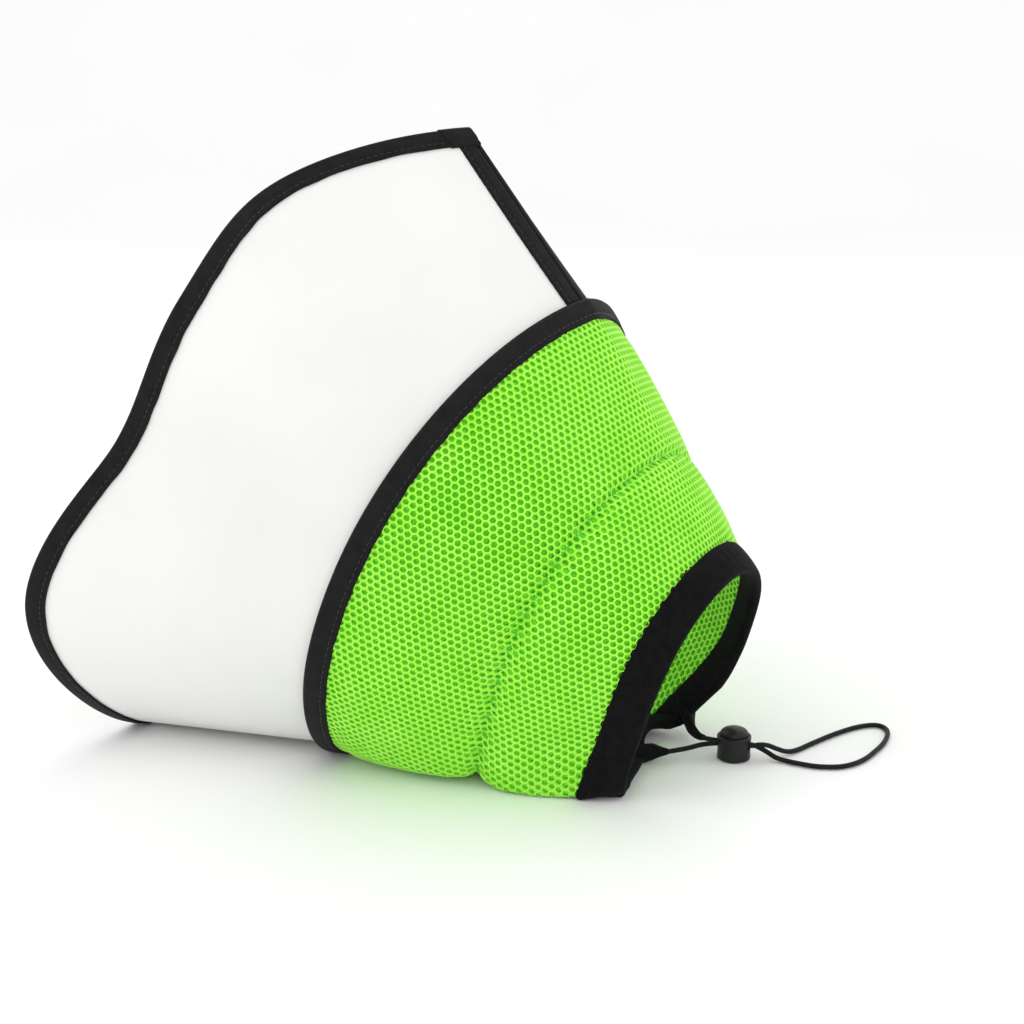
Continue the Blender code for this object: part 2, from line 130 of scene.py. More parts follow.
def conePoint(angle, spread, reach):
    rest, off, turn = radians(collar["restAngle"]), np.radians(spread), np.radians(angle)
    axis = np.array([-cos(rest), 0.0, sin(rest)])
    top = np.array([sin(rest), 0.0, cos(rest)])
    near = np.array([0.0, -1.0, 0.0])
    side = grow(np.cos(turn)) * top + grow(np.sin(turn)) * near
    return grow(reach) * (grow(np.cos(off)) * axis + grow(np.sin(off)) * side)


def onFloor(place, half):
    place[..., 2] = np.maximum(place[..., 2], half)
    return place


def rimPoint(angle):
    spread = collar["halfAngle"] * section("rimSpread", angle)
    reach = collar["rimReach"] * section("rimReach", angle) - collar["clear"] - rimHalf
    return onFloor(conePoint(angle, spread, reach), rimHalf)


def edgePoint(angle):
    spread = collar["halfAngle"] * section("edgeSpread", angle)
    reach = collar["edgeReach"] - collar["clear"] - edgeHalf
    return onFloor(conePoint(angle, spread, reach), edgeHalf)


def drawnBy(name, angle):
    values = np.array(drawn[name], float)
    place = np.clip((np.asarray(angle, float) % 360.0 - drawStart) / drawStep, 0.0, len(values) - 1.0)
    first = np.minimum(place.astype(int), len(values) - 2)
    before, after = values[np.maximum(first - 1, 0)], values[np.minimum(first + 2, len(values) - 1)]
    return smoothBetween(before, values[first], values[first + 1], after, place - first)


def ringPoint(angle, name):
    lean, turn = radians(collar[name + "Tilt"]), np.radians(angle)
    upward, near = np.array([sin(lean), 0.0, cos(lean)]), np.array([0.0, -1.0, 0.0])
    height = collar[name + "Radius"] * sections[name][-1] * cos(lean) + casingHalf
    size = grow(collar[name + "Radius"] * section(name, angle))
    side = grow(np.cos(turn)) * upward + grow(np.sin(turn)) * near
    place = onFloor(np.array([-collar[name + "Run"], 0.0, height]) + size * side, casingHalf)
    sideways = np.array([cos(radians(drawWay)), sin(radians(drawWay)), 0.0])
    place += grow(drawnBy(name + "Side", angle)) * sideways
    return place + grow(drawnBy(name + "Rise", angle)) * np.array([0.0, 0.0, 1.0])


def neckPoint(angle):
    return ringPoint(angle, "neck")


def mouthPoint(angle):
    return ringPoint(angle, "mouth")


def outward(surface, angle, along):
    angle, along = np.broadcast_arrays(np.asarray(angle, float), np.asarray(along, float))
    across = surface(angle - 3.0, along) - surface(angle + 3.0, along)
    forward = surface(angle, along + 0.02) - surface(angle, along - 0.02)
    return unit(np.cross(forward, across))


def casingWay(angle):
    return unit(mouthPoint(angle) - neckPoint(angle))


def meshBase(angle, along):
    begin = neckPoint(angle) - casingWay(angle) * (collar["casingSlot"] + collar["clear"])
    edge = edgePoint(angle)
    return edge + (begin - edge) * grow(along)


def underEdge(angle, tuck):
    start = edgePoint(angle)
    inward = unit(meshBase(angle, 1.0) - start)
    return start + inward * grow(tuck) - outward(meshBase, angle, 0.0) * sheetDrop


def sheetBase(angle, along):
    start = underEdge(angle, 0.0)
    return start + (rimPoint(angle) - start) * grow(along)


def meshLength(angle):
    return np.linalg.norm(meshBase(angle, 1.0) - edgePoint(angle), axis=-1)


# Small puckers that the quilting thread pulls in the mesh
puckers = {"height": 0.00045, "reach": 0.007, "length": 0.0085}
stitchAlong = folds["along"][6]
innerFace = 1e-9  # a height too small to see, whose sign tells the outer face from the inner


# share runs from the wide edge (0) to the casing (1), height is off the wall's middle
def meshSurface(angle, share, height):
    angle, share = np.broadcast_arrays(np.asarray(angle, float), np.asarray(share, float))
    hidden = collar["edgeTape"] / meshLength(angle)
    along = np.clip((share - hidden) / (1.0 - hidden), 0.0, 1.0)
    lift = fold("lift", along)
    lift = lift * np.where(lift > 0.0, section("puff", angle), 1.0)
    normal = outward(meshBase, angle, np.clip(share, 0.0, 1.0))
    fromStitch = (along - stitchAlong) * (1.0 - hidden) * meshLength(angle)
    ripple = np.sin(np.radians(angle) * 0.075 / puckers["length"] * 2 * pi)
    ripple = ripple * np.exp(-(fromStitch / puckers["reach"]) ** 2) * puckers["height"]
    half = (collar["meshNip"] + (collar["meshWall"] - collar["meshNip"]) * fold("loft", along)) / 2
    place = meshBase(angle, share) + normal * grow(collar["meshPuff"] * lift + ripple)
    place = onFloor(place, half)
    side = np.where(np.asarray(height) < 0.0, -1.0, 1.0)
    return place + normal * grow(side * half + height)


# sRGB hex to Blender's linear colour
def hexColour(text):
    parts = [int(text[i:i + 2], 16) / 255 for i in (1, 3, 5)]
    return [v / 12.92 if v <= 0.04045 else ((v + 0.055) / 1.055) ** 2.4 for v in parts] + [1.0]


# Adds a node with its settings, and links from other nodes' sockets
def addNode(tree, kind, links=None, **settings):
    node = tree.nodes.new("ShaderNode" + kind)
    for key, value in settings.items():
        if hasattr(node, key):
            setattr(node, key, value)
        else:
            node.inputs[key.replace("_", " ")].default_value = value
    for name, socket in (links or {}).items():
        tree.links.new(socket, node.inputs[name])
    return node


def newMaterial(name, colour, **settings):
    material = bpy.data.materials.new(name)
    material.use_nodes = True
    shader = material.node_tree.nodes["Principled BSDF"]
    shader.inputs["Base Color"].default_value = hexColour(colour)
    for key, value in settings.items():
        shader.inputs[key.replace("_", " ")].default_value = value
    return material, material.node_tree, shader


# Colour that wanders between two shades
def mottle(tree, shader, coords, dark, light, scale):
    noise = addNode(tree, "TexNoise", {"Vector": coords}, Scale=scale, Detail=3.0)
    ramp = addNode(tree, "ValToRGB", {"Fac": noise.outputs["Fac"]})
    ramp.color_ramp.elements[0].position = 0.3
    ramp.color_ramp.elements[0].color = hexColour(dark)
    ramp.color_ramp.elements[1].position = 0.7
    ramp.color_ramp.elements[1].color = hexColour(light)
    tree.links.new(ramp.outputs["Color"], shader.inputs["Base Color"])


def bump(tree, shader, height, distance, strength):
    node = addNode(tree, "Bump", {"Height": height}, Distance=distance, Strength=strength)
    tree.links.new(node.outputs["Normal"], shader.inputs["Normal"])


# Polypropylene sheet with a frosted surface: milky white, soft gloss, light bleeds through it
def frostedPolypropylene():
    material, tree, shader = newMaterial("frostedPolypropylene", "#EAE9E7", Roughness=0.42, IOR=1.49,
                                         Subsurface_Weight=0.35, Subsurface_Scale=0.004)
    shader.inputs["Subsurface Radius"].default_value = (1.0, 1.0, 1.0)
    coords = addNode(tree, "TexCoord").outputs["Object"]
    mottle(tree, shader, coords, "#E4E3E1", "#EEEDEB", 9.0)
    # frosting grain of about 0.4 mm, coarser than the real one so that it shows
    grain = addNode(tree, "TexNoise", {"Vector": coords}, Scale=2500.0, Detail=2.0)
    bump(tree, shader, grain.outputs["Fac"], 0.00003, 0.5)
    return material


# Woven polyester binding tape: matt black with fine cross ribs that catch a little light
def wovenPolyesterTape():
    material, tree, shader = newMaterial("wovenPolyesterTape", "#101011", Roughness=0.75,
                                         Sheen_Weight=0.06, Sheen_Roughness=0.45,
                                         Specular_IOR_Level=0.2)
    shader.inputs["Sheen Tint"].default_value = hexColour("#8A8A90")
    uv = addNode(tree, "UVMap").outputs["UV"]
    mottle(tree, shader, uv, "#0C0C0D", "#171719", 160.0)
    # ribs 0.55 mm apart across the tape, threads 0.4 mm apart along it
    ribs = addNode(tree, "TexWave", {"Vector": uv}, bands_direction="X", Scale=0.314 / 0.00055)
    threads = addNode(tree, "TexWave", {"Vector": uv}, bands_direction="Y", Scale=0.314 / 0.0004)
    both = addNode(tree, "Math", {0: ribs.outputs["Fac"], 1: threads.outputs["Fac"]}, operation="ADD")
    bump(tree, shader, both.outputs[0], 0.00008, 0.6)
    return material


# Warp-knitted polyester yarn of a spacer mesh: bright lime, a little sheen, light scatters in it
def spacerMeshYarn():
    material, tree, shader = newMaterial("spacerMeshYarn", "#9DF52E", Roughness=0.62,
                                         Sheen_Weight=0.3, Sheen_Roughness=0.4,
                                         Subsurface_Weight=0.2, Subsurface_Scale=0.0015)
    shader.inputs["Subsurface Radius"].default_value = (0.6, 1.0, 0.25)
    coords = addNode(tree, "TexCoord").outputs["Object"]
    mottle(tree, shader, coords, "#9AF22A", "#ACFA48", 60.0)
    # filaments of the yarn, drawn 0.3 mm thick so that they show
    filaments = addNode(tree, "TexNoise", {"Vector": coords}, Scale=3300.0, Detail=1.0)
    bump(tree, shader, filaments.outputs["Fac"], 0.00006, 0.6)
    return material


# Painted shade for the spacer threads seen down in the holes: a deeper green than the yarn, standing in for
# the shade they sit in
def spacerMeshPaintedShade():
    material, tree, shader = newMaterial("spacerMeshPaintedShade", "#66CC18", Roughness=0.85,
                                         Subsurface_Weight=0.1, Subsurface_Scale=0.001)
    coords = addNode(tree, "TexCoord").outputs["Object"]
    mottle(tree, shader, coords, "#5CC410", "#74DA24", 900.0)
    threads = addNode(tree, "TexNoise", {"Vector": coords}, Scale=1800.0, Detail=2.0)
    bump(tree, shader, threads.outputs["Fac"], 0.0002, 0.8)
    return material


# Spun polyester sewing thread, green for the mesh and black for the tapes
def sewingThread(name, dark, light):
    material, tree, shader = newMaterial(name, dark, Roughness=0.55, Sheen_Weight=0.2)
    coords = addNode(tree, "TexCoord").outputs["Object"]
    mottle(tree, shader, coords, dark, light, 700.0)
    # ply twist of about 0.5 mm
    twist = addNode(tree, "TexWave", {"Vector": coords}, bands_direction="DIAGONAL", Scale=0.314 / 0.0005)
    bump(tree, shader, twist.outputs["Fac"], 0.00008, 0.7)
    return material


# Brushed polyester tricot of the casing: very dark, soft nap with a grey sheen at grazing light
def brushedTricot():
    material, tree, shader = newMaterial("brushedTricot", "#0B0B0C", Roughness=0.9,
                                         Sheen_Weight=0.06, Sheen_Roughness=0.5,
                                         Specular_IOR_Level=0.12)
    shader.inputs["Sheen Tint"].default_value = hexColour("#77777C")
    coords = addNode(tree, "TexCoord").outputs["Object"]
    mottle(tree, shader, coords, "#080809", "#111112", 240.0)
    nap = addNode(tree, "TexNoise", {"Vector": coords}, Scale=1600.0, Detail=3.0)
    bump(tree, shader, nap.outputs["Fac"], 0.00022, 0.8)
    return material


# Braided elastic cord: black polyester strands crossing over a rubber core
def braidedElastic():
    material, tree, shader = newMaterial("braidedElastic", "#0C0C0D", Roughness=0.6,
                                         Sheen_Weight=0.05, Sheen_Roughness=0.4,
                                         Specular_IOR_Level=0.2)
    uv = addNode(tree, "UVMap").outputs["UV"]
    mottle(tree, shader, uv, "#090909", "#161617", 500.0)
    # braid picks 1.1 mm long, crossing both ways
    crossing = []
    for turn in (0.75, -0.75):
        turned = addNode(tree, "Mapping", {"Vector": uv}, Rotation=(0.0, 0.0, turn))
        crossing.append(addNode(tree, "TexWave", {"Vector": turned.outputs["Vector"]},
                                Scale=0.314 / 0.0011).outputs["Fac"])
    braid = addNode(tree, "Math", {0: crossing[0], 1: crossing[1]}, operation="MULTIPLY")
    bump(tree, shader, braid.outputs[0], 0.0002, 0.8)
    return material


# Moulded acetal of the cord lock: black with a fine spark texture and a soft gloss
def mouldedAcetal():
    material, tree, shader = newMaterial("mouldedAcetal", "#0D0D0E", Roughness=0.4, IOR=1.48,
                                         Specular_IOR_Level=0.35)
    coords = addNode(tree, "TexCoord").outputs["Object"]
    mottle(tree, shader, coords, "#0B0B0C", "#121213", 300.0)
    spark = addNode(tree, "TexNoise", {"Vector": coords}, Scale=2600.0, Detail=2.0)
    bump(tree, shader, spark.outputs["Fac"], 0.00004, 0.5)
    return material


finishes = {
    "sheet": frostedPolypropylene(), "tape": wovenPolyesterTape(), "yarn": spacerMeshYarn(),
    # depth: painted shade, the deeper green seen down in the knit's holes
    "depth": spacerMeshPaintedShade(), "tricot": brushedTricot(), "elastic": braidedElastic(),
    "acetal": mouldedAcetal(),
    "greenThread": sewingThread("greenSewingThread", "#35B52A", "#52D645"),
    "blackThread": sewingThread("blackSewingThread", "#0E0E0F", "#1C1C1E"),
}
print("materials ready")


# Puts a mesh in the scene as a piece that rides on a body
def finishPiece(name, mesh, material, nodes=(), body="collar"):
    mesh.materials.clear()
    mesh.materials.append(finishes[material])
    piece = bpy.data.objects.new(name, mesh)
    bpy.context.scene.collection.objects.link(piece)
    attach(piece, body)
    if nodes:
        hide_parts(*nodes)
    return piece


# A grid laid on place(u, v), u and v from 0 to 1; its UV map is in real metres
def laidGrid(name, columns, rows, place, size, welds=True, caps=False):
    work = bmesh.new()
    bmesh.ops.create_grid(work, x_segments=columns, y_segments=rows, size=0.5)
    uvLayer = work.loops.layers.uv.new("UVMap")
    for face in work.faces:
        for corner in face.loops:
            corner[uvLayer].uv = ((corner.vert.co.x + 0.5) * size[0], (corner.vert.co.y + 0.5) * size[1])
    u = np.array([vert.co.x + 0.5 for vert in work.verts])
    v = np.array([vert.co.y + 0.5 for vert in work.verts])
    for vert, co in zip(work.verts, place(u, v) + frameShift):
        vert.co = co
    if welds:
        bmesh.ops.remove_doubles(work, verts=work.verts, dist=0.000002)
    if caps:
        bmesh.ops.holes_fill(work, edges=[edge for edge in work.edges if edge.is_boundary], sides=0)
    bmesh.ops.recalc_face_normals(work, faces=work.faces)
    mesh = bpy.data.meshes.new(name)
    work.to_mesh(mesh)
    work.free()
    mesh.shade_smooth()
    return mesh


# Point (a, b) on a closed outline at shares v of its length
def alongOutline(outline, v):
    outline = np.array(list(outline) + [outline[0]])
    steps = np.linalg.norm(np.diff(outline, axis=0), axis=1)
    lengths = np.concatenate([[0.0], np.cumsum(steps)])
    place = v * lengths[-1]
    return np.interp(place, lengths, outline[:, 0]), np.interp(place, lengths, outline[:, 1])


def outlineLength(outline):
    closed = np.array(list(outline) + [outline[0]])
    return np.linalg.norm(np.diff(closed, axis=0), axis=1).sum()


def arc(middle, radius, begin, end, count):
    turns = np.linspace(begin, end, count)
    return [(middle[0] + radius * sin(t), middle[1] + radius * cos(t)) for t in turns]


# Camera: 14 degrees above the floor, 30.7 degrees round to the neck's side
cameraView = {"place": (0.2312, -0.7349, 0.3316), "elevation": 14.0, "azimuth": 30.7,
              "lens": 62.256, "sensor": 36.0}


def addCamera():
    up, turn = radians(cameraView["elevation"]), radians(cameraView["azimuth"])
    back = Vector((sin(turn) * cos(up), -cos(turn) * cos(up), sin(up)))
    right = Vector((cos(turn), sin(turn), 0.0))
    data = bpy.data.cameras.new("camera")
    data.lens = cameraView["lens"]
    data.sensor_width = cameraView["sensor"]
    data.clip_start, data.clip_end = 0.01, 20.0
    camera = bpy.data.objects.new("camera", data)
    bpy.context.scene.collection.objects.link(camera)
    matrix = Matrix((right, back.cross(right), back)).transposed().to_4x4()
    matrix.translation = Vector(cameraView["place"]) + Vector(frameShift)
    camera.matrix_world = matrix
    bpy.context.scene.camera = camera


addCamera()

# Drawcord: the same chosen points as the solid, near casing end first
cord = {"diameter": 0.0025, "sides": 12, "rings": 420}
cordRoute = (
    (-0.1232, 0.0113, 0.0040), (-0.1156, 0.0173, 0.0052), (-0.1092, 0.0227, 0.0068),
    (-0.1034, 0.0264, 0.0075), (-0.0987, 0.0281, 0.0076), (-0.0909, 0.0300, 0.0076),
    (-0.0862, 0.0315, 0.0079), (-0.0826, 0.0339, 0.0083), (-0.0798, 0.0371, 0.0074),
    (-0.0768, 0.0414, 0.0048), (-0.0739, 0.0464, 0.0023), (-0.0709, 0.0531, 0.0013),
    (-0.0670, 0.0680, 0.0013), (-0.0620, 0.0850, 0.0013), (-0.0555, 0.1000, 0.0013),
    (-0.0480, 0.1070, 0.0013), (-0.0410, 0.1025, 0.0013), (-0.0370, 0.0880, 0.0013),
    (-0.0365, 0.0720, 0.0013), (-0.0380, 0.0560, 0.0013), (-0.0435, 0.0445, 0.0013),
    (-0.0530, 0.0385, 0.0013), (-0.0630, 0.0370, 0.0013), (-0.0710, 0.0370, 0.0014),
    (-0.0756, 0.0367, 0.0022), (-0.0797, 0.0367, 0.0039), (-0.0836, 0.0359, 0.0058),
    (-0.0869, 0.0346, 0.0071), (-0.0917, 0.0331, 0.0076), (-0.0995, 0.0312, 0.0076),
    (-0.1044, 0.0304, 0.0075), (-0.1088, 0.0315, 0.0069), (-0.1142, 0.0338, 0.0060),
    (-0.1224, 0.0404, 0.0043),
)


# Evenly spaced points on a smooth curve through the route
def smoothRoute(route, count):
    route = np.array(route)
    ends = np.vstack([2 * route[0] - route[1], route, 2 * route[-1] - route[-2]])
    share = np.linspace(0.0, 1.0, 12, endpoint=False)[:, None]
    fine = [smoothBetween(*ends[i - 1:i + 3], share) for i in range(1, len(ends) - 2)]
    fine = np.vstack(fine + [route[-1:]])
    lengths = np.concatenate([[0.0], np.cumsum(np.linalg.norm(np.diff(fine, axis=0), axis=1))])
    even = np.linspace(0.0, lengths[-1], count)
    return np.stack([np.interp(even, lengths, fine[:, k]) for k in range(3)], axis=-1), lengths[-1]


# Unit vectors along a path and two across it, without twist
def besidePath(path):
    ahead = unit(np.gradient(path, axis=0))
    side = unit(np.cross(ahead, np.array([0.0, 0.0, 1.0])))
    return ahead, side, np.cross(side, ahead)


def tubeMesh(name, path, radii, sides):
    _, side, up = besidePath(path)
    steps = np.linspace(0.0, 1.0, len(path))
    length = np.linalg.norm(np.diff(path, axis=0), axis=1).sum()

    def place(u, v):
        pick = np.rint(u * (len(path) - 1)).astype(int)
        turn = v * 2 * pi
        size = grow(np.interp(u, steps, radii))
        return path[pick] + size * (grow(np.cos(turn)) * side[pick] + grow(np.sin(turn)) * up[pick])

    around = 2 * pi * float(np.mean(radii))
    return laidGrid(name, len(path) - 1, sides, place, (length, around), caps=True)


def makeDrawcord():
    path, length = smoothRoute(cordRoute, cord["rings"])
    mesh = tubeMesh("elastic_drawcord", path, np.full(len(path), cord["diameter"] / 2), cord["sides"])
    piece = finishPiece("elastic_drawcord", mesh, "elastic", ["drawcord"])
    return piece, path, length


drawcord, cordPath, cordLength = makeDrawcord()
print("cord laid", round(float(cordLength), 4))

# Frosted sheet, smooth between the solid's facets
sheetGrid = {"columns": 288, "rows": 36}
columnStep = 360.0 / 60  # degrees between the solid's columns


def makeConeSheet():
    rimRun = float(np.linalg.norm(rimPoint(0.0) - underEdge(0.0, 0.0)))

    def place(u, v):
        angle = u * 360.0
        run = v * (rimRun + collar["sheetTuck"]) - collar["sheetTuck"]
        tucked = underEdge(angle, np.maximum(-run, 0.0))
        open_ = sheetBase(angle, np.maximum(run, 0.0) / rimRun)
        spot = np.where(grow(run) < 0.0, tucked, open_)
        # the two closing edges stop short of the ridge, where their tapes meet
        for end, other in ((0.0, columnStep), (360.0, 360.0 - columnStep)):
            way = unit(sheetBase(other, 0.5) - sheetBase(0.0, 0.5))
            gap = collar["clear"] + (rimHalf + collar["clear"]) / abs(way[1])
            near = np.exp(-((angle - end) / 4.0) ** 2)
            spot = spot + grow(near * gap) * way
        return spot

    mesh = laidGrid("frosted_sheet", sheetGrid["columns"], sheetGrid["rows"], place, (0.9, 0.16), welds=False)
    piece = finishPiece("frosted_sheet", mesh, "sheet", ["cone_sheet"])
    solid = piece.modifiers.new("wall", "SOLIDIFY")
    solid.thickness = collar["sheetWall"]
    solid.offset = 0.0
    return piece


makeConeSheet()
print("sheet done")


# Binding tape folded over an edge, with the sunk line of its sewing
def tapeOutline(width, core, half, groove):
    back = width - collar["clear"] - half
    line = -back + groove * width
    dip = 0.00028
    top = [(-back, core / 2), (-back, half * 0.62), (-back + 0.0003, half - 0.0001)]
    top += [(line - 0.0009, half), (line - 0.0004, half - dip * 0.6), (line, half - dip),
            (line + 0.0004, half - dip * 0.6), (line + 0.0009, half + 0.0001)]
    top += [(line * 0.55, half + 0.00018), (0.0, half)]
    bend = arc((collar["clear"], 0.0), half, 0.25, pi - 0.25, 9)
    under = [(a, -b) for a, b in reversed(top)]
    inside = [(-back, -core / 2), (collar["clear"], -core / 2), (collar["clear"], core / 2)]
    return top + bend + under + inside


# Sweeps the outline along station(angle) -> place, ahead, out
def tapeMesh(name, angles, station, outline, columns, closed, wave=0.00012):
    length = outlineLength(outline)

    def place(u, v):
        spot, ahead, out = station(u)
        a, b = alongOutline(outline, v % 1.0)
        # the tape isn't quite even: its free edges wander a little
        wander = wave * (np.sin(u * 2 * pi * 41) + 0.7 * np.sin(u * 2 * pi * 67 + 1.0))
        return spot + ahead * grow(a + wander * (a < 0)) + out * grow(b)

    return laidGrid(name, columns, 44, place, (angles, length), caps=not closed)


def rimStation(u):
    angle = u * 360.0
    spot = rimPoint(angle)
    return spot, unit(spot - underEdge(angle, 0.0)), outward(sheetBase, angle, 1.0)


def edgeStation(u):
    angle = u * 360.0
    spot = edgePoint(angle)
    return spot, unit(spot - meshBase(angle, 1.0)), outward(meshBase, angle, 0.0)


sheetCore = collar["sheetWall"] + collar["clear"]
rimOutline = tapeOutline(collar["rimTape"], sheetCore, rimHalf, 0.24)
edgeOutline = tapeOutline(collar["edgeTape"], collar["meshNip"] + collar["clear"], edgeHalf, 0.24)
seamOutline = tapeOutline(collar["seamTape"], sheetCore, rimHalf, 0.24)

finishPiece("rim_tape", tapeMesh("rim_tape", 1.0, rimStation, rimOutline, 480, True),
            "tape", ["rim_binding"])
# The rim tape's turned-over end, lapped over its start at the seam
lap = {"start": -1.6, "turn": 5.8, "rise": 0.0005}


def lapStation(u):
    return rimStation((lap["start"] + lap["turn"] * u) % 360.0 / 360.0)


lapOutline = tapeOutline(collar["rimTape"] + 2 * lap["rise"], sheetCore, rimHalf + lap["rise"], 0.24)
finishPiece("rim_tape_end", tapeMesh("rim_tape_end", 0.017, lapStation, lapOutline, 40, False, 0.0),
            "tape")
finishPiece("mesh_edge_tape", tapeMesh("mesh_edge_tape", 0.75, edgeStation, edgeOutline, 420, True),
            "tape", ["mesh_binding"])


def seamStation(side):
    step = columnStep * side
    length = float(np.linalg.norm(rimPoint(0.0) - underEdge(0.0, 0.0)))
    first = (collar["clear"] + edgeHalf + collar["clear"]) / length
    # the upper end tucks in at the rim's tape
    last = 1.0 - (collar["rimTape"] - collar["clear"] - rimHalf - collar["tapeWall"]) / length

    def station(u):
        along = first + (last - first) * u
        ridge, neighbour = sheetBase(np.zeros_like(along), along), sheetBase(np.full_like(along, step), along)
        way = unit(neighbour - ridge)
        gap = collar["clear"] + (rimHalf + collar["clear"]) / np.abs(way[..., 1])
        forward = sheetBase(0.0 * along, along + 0.1) - sheetBase(0.0 * along, along - 0.1)
        out = unit(np.cross(forward, -way)) * side
        out = np.where(out[..., 2:] < 0.0, -out, out)
        return ridge + way * grow(gap), -way, out

    return station


for name, side, node in (("near_seam_tape", 1, "seam_binding"), ("far_seam_tape", -1, "under_edge_binding")):
    mesh = tapeMesh(name, 0.11, seamStation(side), seamOutline, 90, False, 0.00008)
    finishPiece(name, mesh, "tape", [node])
print("tapes done")

# Spacer mesh: a padded core, and a knitted face of hexagonal holes on each side of it
knit = {"pitch": 0.0036, "holeShare": 0.58, "midShare": 0.74, "crest": 0.0004, "sink": 0.00025,
        "turn": 124.0, "stretch": 1.14, "innerHole": 0.84}


def makeMeshCore():
    inset = 0.0007
    columns, rows = 300, 96

    def place(u, v):
        # v goes out along the outer face and back along the inner one
        share = 1.0 - np.abs(2 * v - 1.0)
        face = np.where(v <= 0.5, 1.0, -1.0)
        outer = meshSurface(u * 360.0, share, 0.0)
        inner = meshSurface(u * 360.0, share, -innerFace)
        middle = (outer + inner) / 2
        half = (outer - inner) / 2
        length = np.linalg.norm(half, axis=-1, keepdims=True)
        return middle + half / length * (length - inset) * grow(face)

    mesh = laidGrid("mesh_core", columns, rows * 2, place, (0.6, 0.3))
    # the core is coloured with painted shade, the deeper green seen down in the knit's holes
    piece = finishPiece("mesh_core", mesh, "depth", ["mesh_cone"])
    return piece


makeMeshCore()


# One hexagon of yarn round a hole: crest at the rim, rounded down into the hole
def knitTile(scale):
    work = bmesh.new()
    bmesh.ops.create_circle(work, cap_ends=True, segments=6, radius=knit["pitch"] / 3 ** 0.5)
    middle = work.faces[:]
    rings = ((knit["midShare"], knit["crest"] * 0.75), (knit["holeShare"] * scale, -knit["sink"]))
    for share, height in rings:
        bmesh.ops.inset_region(work, faces=middle, thickness=0.00001, use_boundary=True)
        ring = list({vert for face in middle for vert in face.verts})
        reach = knit["pitch"] / 3 ** 0.5 * share
        for vert in ring:
            flat = Vector((vert.co.x, vert.co.y, 0.0)).normalized() * reach
            stretch = knit["stretch"] if height < 0 else 1.0
            vert.co = Vector((flat.x * stretch, flat.y / stretch, height))
    bmesh.ops.delete(work, geom=middle, context="FACES")
    for vert in work.verts:
        if vert.co.z == 0.0:
            vert.co.z = knit["crest"]
    mesh = bpy.data.meshes.new("knit_tile")
    work.to_mesh(mesh)
    work.free()
    return mesh


# The tile repeated over a flat sheet by two arrays
def knitSheet(width, height, scale):
    tile = bpy.data.objects.new("knit_sheet", knitTile(scale))
    bpy.context.scene.collection.objects.link(tile)
    pitch = knit["pitch"]
    rowStep = pitch * 3 ** 0.5 / 2
    pair = tile.modifiers.new("pair", "ARRAY")
    pair.count, pair.use_relative_offset, pair.use_constant_offset = 2, False, True
    pair.constant_offset_displace = (pitch / 2, rowStep, 0.0)
    for name, count, offset in (("row", int(width / pitch) + 1, (pitch, 0, 0)),
                                ("rows", int(height / rowStep / 2) + 1, (0, 2 * rowStep, 0))):
        array = tile.modifiers.new(name, "ARRAY")
        array.count, array.use_relative_offset, array.use_constant_offset = count, False, True
        array.constant_offset_displace = offset
    flat = bpy.data.meshes.new_from_object(tile.evaluated_get(bpy.context.evaluated_depsgraph_get()))
    bpy.data.objects.remove(tile)
    return flat


